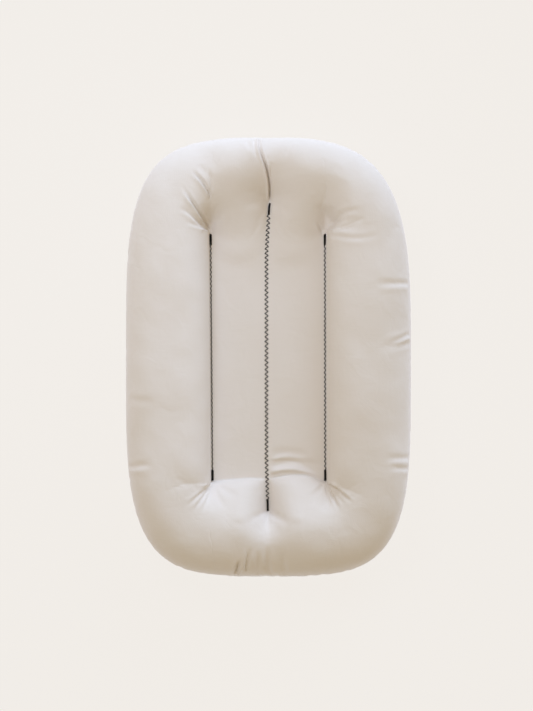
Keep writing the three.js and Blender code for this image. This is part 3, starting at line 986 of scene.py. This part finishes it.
def fibre_mesh():
    """A closed ring of two skins that share their points at the rim and at the nose by the stitch lines."""
    top, under = fibre_face(top_form, top_creases, 1), fibre_face(under_form, under_folds, -1)
    tall, broad = top.shape[:2]
    nose = fibre_nose // fibre_stride
    numbers = np.arange(tall * broad).reshape(tall, broad)
    shared = rim_of(tall, broad)
    shared[nose : tall - nose, nose : broad - nose] = True
    top[shared] = (top[shared] + under[shared]) / 2
    below = np.where(shared, numbers, numbers + tall * broad)
    cells = np.ones((tall - 1, broad - 1), bool)
    cells[nose : tall - nose - 1, nose : broad - nose - 1] = False
    keep = cells.ravel()
    faces = np.concatenate([grid_faces(numbers, 1)[keep], grid_faces(below, -1)[keep]])
    used, places = np.unique(faces, return_inverse=True)
    points = np.concatenate([top.reshape(-1, 3), under.reshape(-1, 3)])
    return points[used], places.reshape(faces.shape)


# Crimped polyester staple, blown in loose: white, matt and cloudy, in clumps about 12 mm across.
clump_size = 12.0
staple, tree = new_material("polyester_staple")
fibre_place = node(tree, "ShaderNodeTexCoord")
clumps = node(
    tree,
    "ShaderNodeTexNoise",
    {"Vector": fibre_place.outputs["Object"], "Scale": MM / clump_size, "Detail": 6.0, "Roughness": 0.7},
)
cloudy = node(tree, "ShaderNodeValToRGB", {"Fac": clumps.outputs["Fac"]})
cloudy.color_ramp.elements[0].color = linear("#E9E8E4")
cloudy.color_ramp.elements[1].color = linear("#F6F6F3")
clump_bump = node(tree, "ShaderNodeBump", {"Height": clumps.outputs["Fac"], "Distance": 4 / MM})
fluff = node(
    tree,
    "ShaderNodeBsdfPrincipled",
    {
        "Base Color": cloudy.outputs["Color"],
        "Roughness": 1.0,
        "Sheen Weight": 0.3,
        "Normal": clump_bump.outputs["Normal"],
    },
)
node(tree, "ShaderNodeOutputMaterial", {"Surface": fluff.outputs[0]})

fibre_points, fibre_faces = fibre_mesh()
fibre = mesh_piece("fibre_stuffing", fibre_points, [fibre_faces])
fibre.data.materials.append(staple)
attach(fibre, "root")
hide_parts("fibre_fill")

# Stitch lines and their tacks
# Three lines of zigzag stitch in dark thread join both panels of the sling, with the needle thread on top
# and the bobbin thread underneath. A dense tack at each end keeps a line from pulling out.

# The real stitches lie 2 mm apart along the line, too fine to show, so they are drawn coarser.
thread_radius, stitch_pitch = 0.65, 3.5
stitch_swing = {"left": 1.6, "centre": 5.0, "right": 2.4}
tack_pitch, tack_swing, tack_length, tack_radius = 0.55, 3.2, 16.0, 0.42
tack_rise, tack_overlap = 0.35, 1.0  # a tack lies over the line's last stitches
thread_sides = 6
drift_across, drift_along, drift_seed = 0.08, 0.07, 9000  # the machine's small misses from hole to hole


def on_cloth(face, up, across, along, lift):
    """Points lifted off a panel's outer face, at places on the flat square grid, with their normals."""
    i, j = np.interp(along, rows, np.arange(high)), np.interp(across, columns, np.arange(wide))
    i_low, j_low = np.minimum(i.astype(int), high - 2), np.minimum(j.astype(int), wide - 2)
    fi, fj = (i - i_low)[:, None], (j - j_low)[:, None]

    def between(grid):
        near = grid[i_low, j_low] * (1 - fj) + grid[i_low, j_low + 1] * fj
        far = grid[i_low + 1, j_low] * (1 - fj) + grid[i_low + 1, j_low + 1] * fj
        return near * (1 - fi) + far * fi

    normal = between(normals_of(face, up))
    return between(face) + normal * lift[:, None], normal


def thread_mesh(routes, radius, sides):
    """Round threads along routes of points and normals. The uv runs along and round each thread."""
    points, faces, uv, start = [], [], [], 0
    turn = np.arange(sides) / sides * 2 * math.pi
    for route, facing in routes:
        ahead = np.gradient(route, axis=0)
        ahead /= np.linalg.norm(ahead, axis=1, keepdims=True)
        side = np.cross(ahead, facing)
        side /= np.linalg.norm(side, axis=1, keepdims=True)
        lift = np.cross(side, ahead)
        ring = side[:, None] * np.cos(turn)[None, :, None] + lift[:, None] * np.sin(turn)[None, :, None]
        points.append((route[:, None] + ring * radius).reshape(-1, 3))
        gone = np.concatenate([[0], np.cumsum(np.linalg.norm(np.diff(route, axis=0), axis=1))])
        lay = np.stack(np.broadcast_arrays(gone[:, None], turn[None, :]), axis=-1)
        uv.append(lay.reshape(-1, 2))
        numbers = start + np.arange(len(route) * sides).reshape(len(route), sides)
        ahead_numbers = np.roll(numbers, -1, axis=1)
        quads = [numbers[:-1], ahead_numbers[:-1], ahead_numbers[1:], numbers[1:]]
        faces.append(np.stack([q.ravel() for q in quads], axis=-1)[:, ::-1])
        for cap, order in ((numbers[0], 1), (numbers[-1], -1)):
            cap = cap[::order]
            quads = [[cap[0], cap[k], cap[k + 1], cap[k + 2]] for k in range(1, sides - 2, 2)]
            faces.append(np.stack(quads))
        start += len(route) * sides
    return np.concatenate(points), faces, np.concatenate(uv)


# A stitch leaves its hole, lies flat and dips again: shares of its length, and lifts off the cloth.
stroke_shares = np.array([0.0, 0.08, 0.3, 0.7, 0.92])
stroke_lifts = np.array([0.05, 0.30, 0.40, 0.40, 0.30])


def zigzag(face, up, line, begin, end, pitch, swing, rise):
    """The route of a zigzag stitch along a line of the sling, from hole to hole."""
    strokes = int(round((end - begin) / pitch))
    hole = np.arange(strokes + 1)
    hole_across = line + np.where(hole % 2, swing, -swing) / 2
    laid = on_cloth(face, up, np.full(high, line), rows, np.zeros(high))[0][:, 1]
    laid_ends = np.interp((begin, end), rows, laid)
    hole_along = np.interp(np.linspace(*laid_ends, strokes + 1), laid, rows)
    drift = np.random.default_rng(int(begin * up + line * 7) + drift_seed)  # each run has its own misses
    hole_across = hole_across + drift.normal(0, drift_across, strokes + 1)
    hole_along = hole_along + drift.normal(0, drift_along, strokes + 1)
    step_across, step_along = np.diff(hole_across), np.diff(hole_along)
    across = (hole_across[:-1, None] + step_across[:, None] * stroke_shares).ravel()
    along = (hole_along[:-1, None] + step_along[:, None] * stroke_shares).ravel()
    lift = np.tile(stroke_lifts, strokes) + rise
    return on_cloth(face, up, across, along, lift)


# Black-brown and cream core-spun polyester: three plies twisted at a lay of 1.6 mm, whose ridges catch a
# little light. Its colour is painted lighter on each ply's ridge and darker in the grooves between, as a
# painted highlight and painted shade over the bump of the same ridges.
ply_lay, ply_count = 1.6, 3
dark_thread, tree = new_material("spun_dark_thread")
cream_thread, cream_tree = new_material("spun_cream_thread")
for thread_tree, groove_shade_colour, ridge_highlight_colour in ((tree, "#0A0908", "#1A1613"), (cream_tree, "#D9D0C4", "#F0EADF")):
    lay_place = node(thread_tree, "ShaderNodeUVMap", uv_map="cloth")
    lay_mm = node(
        thread_tree,
        "ShaderNodeVectorMath",
        {0: lay_place.outputs["UV"], "Scale": MM},
        operation="SCALE",
    )
    lay_ways = node(thread_tree, "ShaderNodeSeparateXYZ", {0: lay_mm.outputs["Vector"]})
    turned = node(
        thread_tree,
        "ShaderNodeMath",
        {0: lay_ways.outputs["X"], 1: 2 * math.pi / ply_lay, 2: lay_ways.outputs["Y"]},
        operation="MULTIPLY_ADD",
    )
    plied = node(thread_tree, "ShaderNodeMath", {0: turned.outputs[0], 1: ply_count}, operation="MULTIPLY")
    plies = node(thread_tree, "ShaderNodeMath", {0: plied.outputs[0]}, operation="SINE")
    ridge = node(
        thread_tree,
        "ShaderNodeMath",
        {0: plies.outputs[0], 1: 0.5, 2: 0.5},
        operation="MULTIPLY_ADD",
    )
    # painted highlight on the ply ridges and painted shade in their grooves, mixed between the two colours
    painted_ply_light = node(
        thread_tree,
        "ShaderNodeMix",
        {"Factor": ridge.outputs[0], "A": linear(groove_shade_colour), "B": linear(ridge_highlight_colour)},
        data_type="RGBA",
    )
    ply_bump = node(thread_tree, "ShaderNodeBump", {"Height": ridge.outputs[0], "Distance": 0.15 / MM})
    spun = node(
        thread_tree,
        "ShaderNodeBsdfPrincipled",
        {
            "Base Color": painted_ply_light.outputs["Result"],
            "Roughness": 0.6,
            "Specular IOR Level": 0.2,
            "Normal": ply_bump.outputs["Normal"],
        },
    )
    node(thread_tree, "ShaderNodeOutputMaterial", {"Surface": spun.outputs[0]})


def thread_piece(name, routes, radius, material, cad_node):
    """Threads of one colour that take the place of one node of the fixed frame."""
    piece = mesh_piece(name, *thread_mesh(routes, radius, thread_sides))
    piece.data.materials.append(material)
    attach(piece, "root")
    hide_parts(cad_node)
    return piece


stitch_lines = (
    ("left", -side_line, side_reach),
    ("centre", 0.0, centre_reach),
    ("right", side_line, side_reach),
)
sewn_sides = ((top_face, 1, "needle_thread", "tack_top"), (under_face, -1, "bobbin_thread", "tack_under"))
for line_name, line, reach in stitch_lines:
    for face, up, thread_name, tack_name in sewn_sides:
        name = f"{line_name}_line_{thread_name}"
        ends = (-reach + tack_length - tack_overlap, reach - tack_length + tack_overlap)
        run = zigzag(face, up, line, *ends, stitch_pitch, stitch_swing[line_name], 0)
        thread_piece(f"{name}_stitches", [run], thread_radius, dark_thread, name)
        for end_name, begin in (("head", reach - tack_length), ("foot", -reach)):
            name = f"{line_name}_{end_name}_{tack_name}"
            ends = (begin, begin + tack_length)
            run = zigzag(face, up, line, *ends, tack_pitch, tack_swing, tack_rise)
            thread_piece(f"{name}_stitches", [run], tack_radius, dark_thread, name)

# Edge seam
# The panels are overlocked together round the edge in cream thread, so its loops wrap both turned-in
# allowances. Outside, the seam shows only as a fine drawn-in line.

overlock_pitch, overlock_steps, overlock_radius = 3.0, 8, 0.22
wrap_middle, wrap_reach, wrap_rise = 8.2, 1.9, 1.35

rim_line = top_face.reshape(-1, 3)[border]
rim_line = np.concatenate([rim_line, rim_line[:1]])
rim_out = np.concatenate([edge_out, edge_out[:1]])


def along_edge(place):
    """Points of the seam and its ways out, so far round the edge."""
    place = place % edge_length
    point = np.stack([np.interp(place, edge_gone, rim_line[:, k]) for k in range(2)], axis=-1)
    out = np.stack([np.interp(place, edge_gone, rim_out[:, k]) for k in range(2)], axis=-1)
    return point, out / np.linalg.norm(out, axis=1, keepdims=True)


overlock_loops = int(edge_length / overlock_pitch)
loop_share = np.arange(overlock_loops * overlock_steps) / overlock_steps
loop_place = loop_share / overlock_loops * (edge_length - 2)
loop_turn = loop_share * 2 * math.pi
loop_point, loop_out = along_edge(loop_place)
loop_inward = wrap_middle + wrap_reach * np.cos(loop_turn)
loop_flat = loop_point - loop_out * loop_inward[:, None]
loop_high = seam_height + wrap_rise * np.sin(loop_turn)
overlock = np.concatenate([loop_flat, loop_high[:, None]], axis=1)
loop_facing = np.concatenate([loop_out * -np.cos(loop_turn)[:, None], np.sin(loop_turn)[:, None]], axis=1)
thread_piece(
    "edge_seam_overlock",
    [(overlock, loop_facing)],
    overlock_radius,
    cream_thread,
    "edge_seam_thread",
)

# Closing stitch
# The opening in the edge seam at the foot is shut by hand once the ring is full, with slanting cream
# stitches over the seam that gather its lips.

closing_half = 60.0  # half of the opening
closing_pitch, closing_swing, closing_radius, closing_lift = 3.2, 3.6, 0.28, 0.25
closing_sink, closing_round = 0.4, 0.5  # it is drawn into the seam, and bends round its lips
closing_middle = edge_place(np.array([0.0]), np.array([-half_length]))[0]
closing_strokes = int(2 * closing_half / closing_pitch)
hole = np.arange(closing_strokes + 1)
hole_place = closing_middle - closing_half + hole * closing_pitch
hole_rise = np.where(hole % 2, closing_swing, -closing_swing) / 2
stroke_place = (hole_place[:-1, None] + closing_pitch * stroke_shares).ravel()
stroke_rise = (hole_rise[:-1, None] + np.diff(hole_rise)[:, None] * stroke_shares).ravel()
stroke_point, stroke_out = along_edge(stroke_place)
stroke_lift = np.tile(stroke_lifts, closing_strokes) - closing_sink
stroke_bend = closing_round * (stroke_rise / closing_swing) ** 2
stroke_off = groove_depth + closing_lift + stroke_lift - stroke_bend
closing_flat = stroke_point + stroke_out * stroke_off[:, None]
closing = np.concatenate([closing_flat, (seam_height + stroke_rise)[:, None]], axis=1)
closing_facing = np.concatenate([stroke_out, np.zeros((len(stroke_out), 1))], axis=1)
thread_piece(
    "foot_closing_stitches",
    [(closing, closing_facing)],
    closing_radius,
    cream_thread,
    "foot_closing_stitch",
)

# Floor and backdrop
# A sweep of matt off-white paper. It shows its own pale colour to the camera and keeps a faint contact
# shadow. To all other rays it glows with a cool light of its own, which lights the sides of the ring in
# place of daylight thrown back off the paper.

floor_colour = linear("#F2EEE9")
floor_half, floor_drop = 6000.0, 0.3
# the last value is the strength of the paper's own cool glow, a light from a surface that is no lamp
glow, glow_part, fill_glow = 1.015, 0.93, 0.66  # its colour to the camera, that colour's part, cool light
paper, tree = new_material("matt_paper")
paper_shade = node(tree, "ShaderNodeBsdfDiffuse", {"Color": floor_colour})
paper_glow = node(tree, "ShaderNodeEmission", {"Color": floor_colour, "Strength": glow})
paper_path = node(tree, "ShaderNodeLightPath")
# for all but camera rays the paper glows in a cool colour, which lights the ring's sides as a fill light
fill_glow_strength = node(
    tree,
    "ShaderNodeMath",
    {0: paper_path.outputs["Is Camera Ray"], 1: -fill_glow, 2: fill_glow},
    operation="MULTIPLY_ADD",
)
paper_fill_glow = node(
    tree,
    "ShaderNodeEmission",
    {"Color": (0.56, 0.68, 0.95, 1.0), "Strength": fill_glow_strength.outputs[0]},
)
paper_lit = node(tree, "ShaderNodeAddShader", {0: paper_shade.outputs[0], 1: paper_fill_glow.outputs[0]})
glow_share = node(
    tree,
    "ShaderNodeMath",
    {0: paper_path.outputs["Is Camera Ray"], 1: glow_part},
    operation="MULTIPLY",
)
paper_mix = node(
    tree,
    "ShaderNodeMixShader",
    {0: glow_share.outputs[0], 1: paper_lit.outputs[0], 2: paper_glow.outputs[0]},
)
node(tree, "ShaderNodeOutputMaterial", {"Surface": paper_mix.outputs[0]})
floor_corners = np.array([(-1, -1, 0), (1, -1, 0), (1, 1, 0), (-1, 1, 0)]) * floor_half
floor = mesh_piece("floor", floor_corners - [0, 0, floor_drop], [[[0, 1, 2, 3]]])
floor.data.materials.append(paper)

# Light
# Soft light of a bright room: a pale blue window low beyond the head's right corner, a soft lamp high above
# the head's left corner, and warm light from all round.

world = bpy.data.worlds.new("room")
bpy.context.scene.world = world
world.use_nodes = True
tree = world.node_tree
tree.nodes.clear()
room = node(tree, "ShaderNodeBackground", {"Color": (1.0, 0.834, 0.562, 1.0), "Strength": 0.505})
backdrop = node(tree, "ShaderNodeBackground", {"Color": floor_colour, "Strength": 1.0})
room_path = node(tree, "ShaderNodeLightPath")
room_mix = node(
    tree,
    "ShaderNodeMixShader",
    {0: room_path.outputs["Is Camera Ray"], 1: room.outputs[0], 2: backdrop.outputs[0]},
)
node(tree, "ShaderNodeOutputWorld", {"Surface": room_mix.outputs[0]})


def lamp_piece(name, kind, energy, colour, toward):
    """A lamp that shines on the object from the way that toward points."""
    lamp = bpy.data.lights.new(name, kind)
    lamp.energy = energy
    lamp.color = colour
    piece = bpy.data.objects.new(name, lamp)
    bpy.context.scene.collection.objects.link(piece)
    piece.rotation_mode = "QUATERNION"
    piece.rotation_quaternion = Vector(toward).to_track_quat("Z", "Y")
    return piece


window = lamp_piece("window", "SUN", 2.4, (0.492, 0.675, 1.0), (0.38, 0.893, 0.242))
window.data.angle = math.radians(40)
softbox_place = (-0.3, 0.4, 0.9)
softbox = lamp_piece("softbox", "AREA", 3.82, (0.618, 0.743, 1.0), softbox_place)
softbox.location = softbox_place
softbox.data.size = 0.5

# Camera
# It looks straight down from 2.2 m, and the picture takes in 800 by 1067 mm at the height of the seam.

picture_scale, picture_high = 1.5, 711  # millimetres a pixel, and pixels
camera_height, camera_x, camera_y = 2200.0, -3.0, 2.7
camera_data = bpy.data.cameras.new("camera")
camera_data.sensor_width = 36.0
camera_data.lens = camera_data.sensor_width * (camera_height - seam_height) / (picture_scale * picture_high)
camera = bpy.data.objects.new("camera", camera_data)
bpy.context.scene.collection.objects.link(camera)
camera.location = Vector((camera_x, camera_y, camera_height)) / MM
bpy.context.scene.camera = camera
bpy.context.scene.view_settings.view_transform = "Standard"
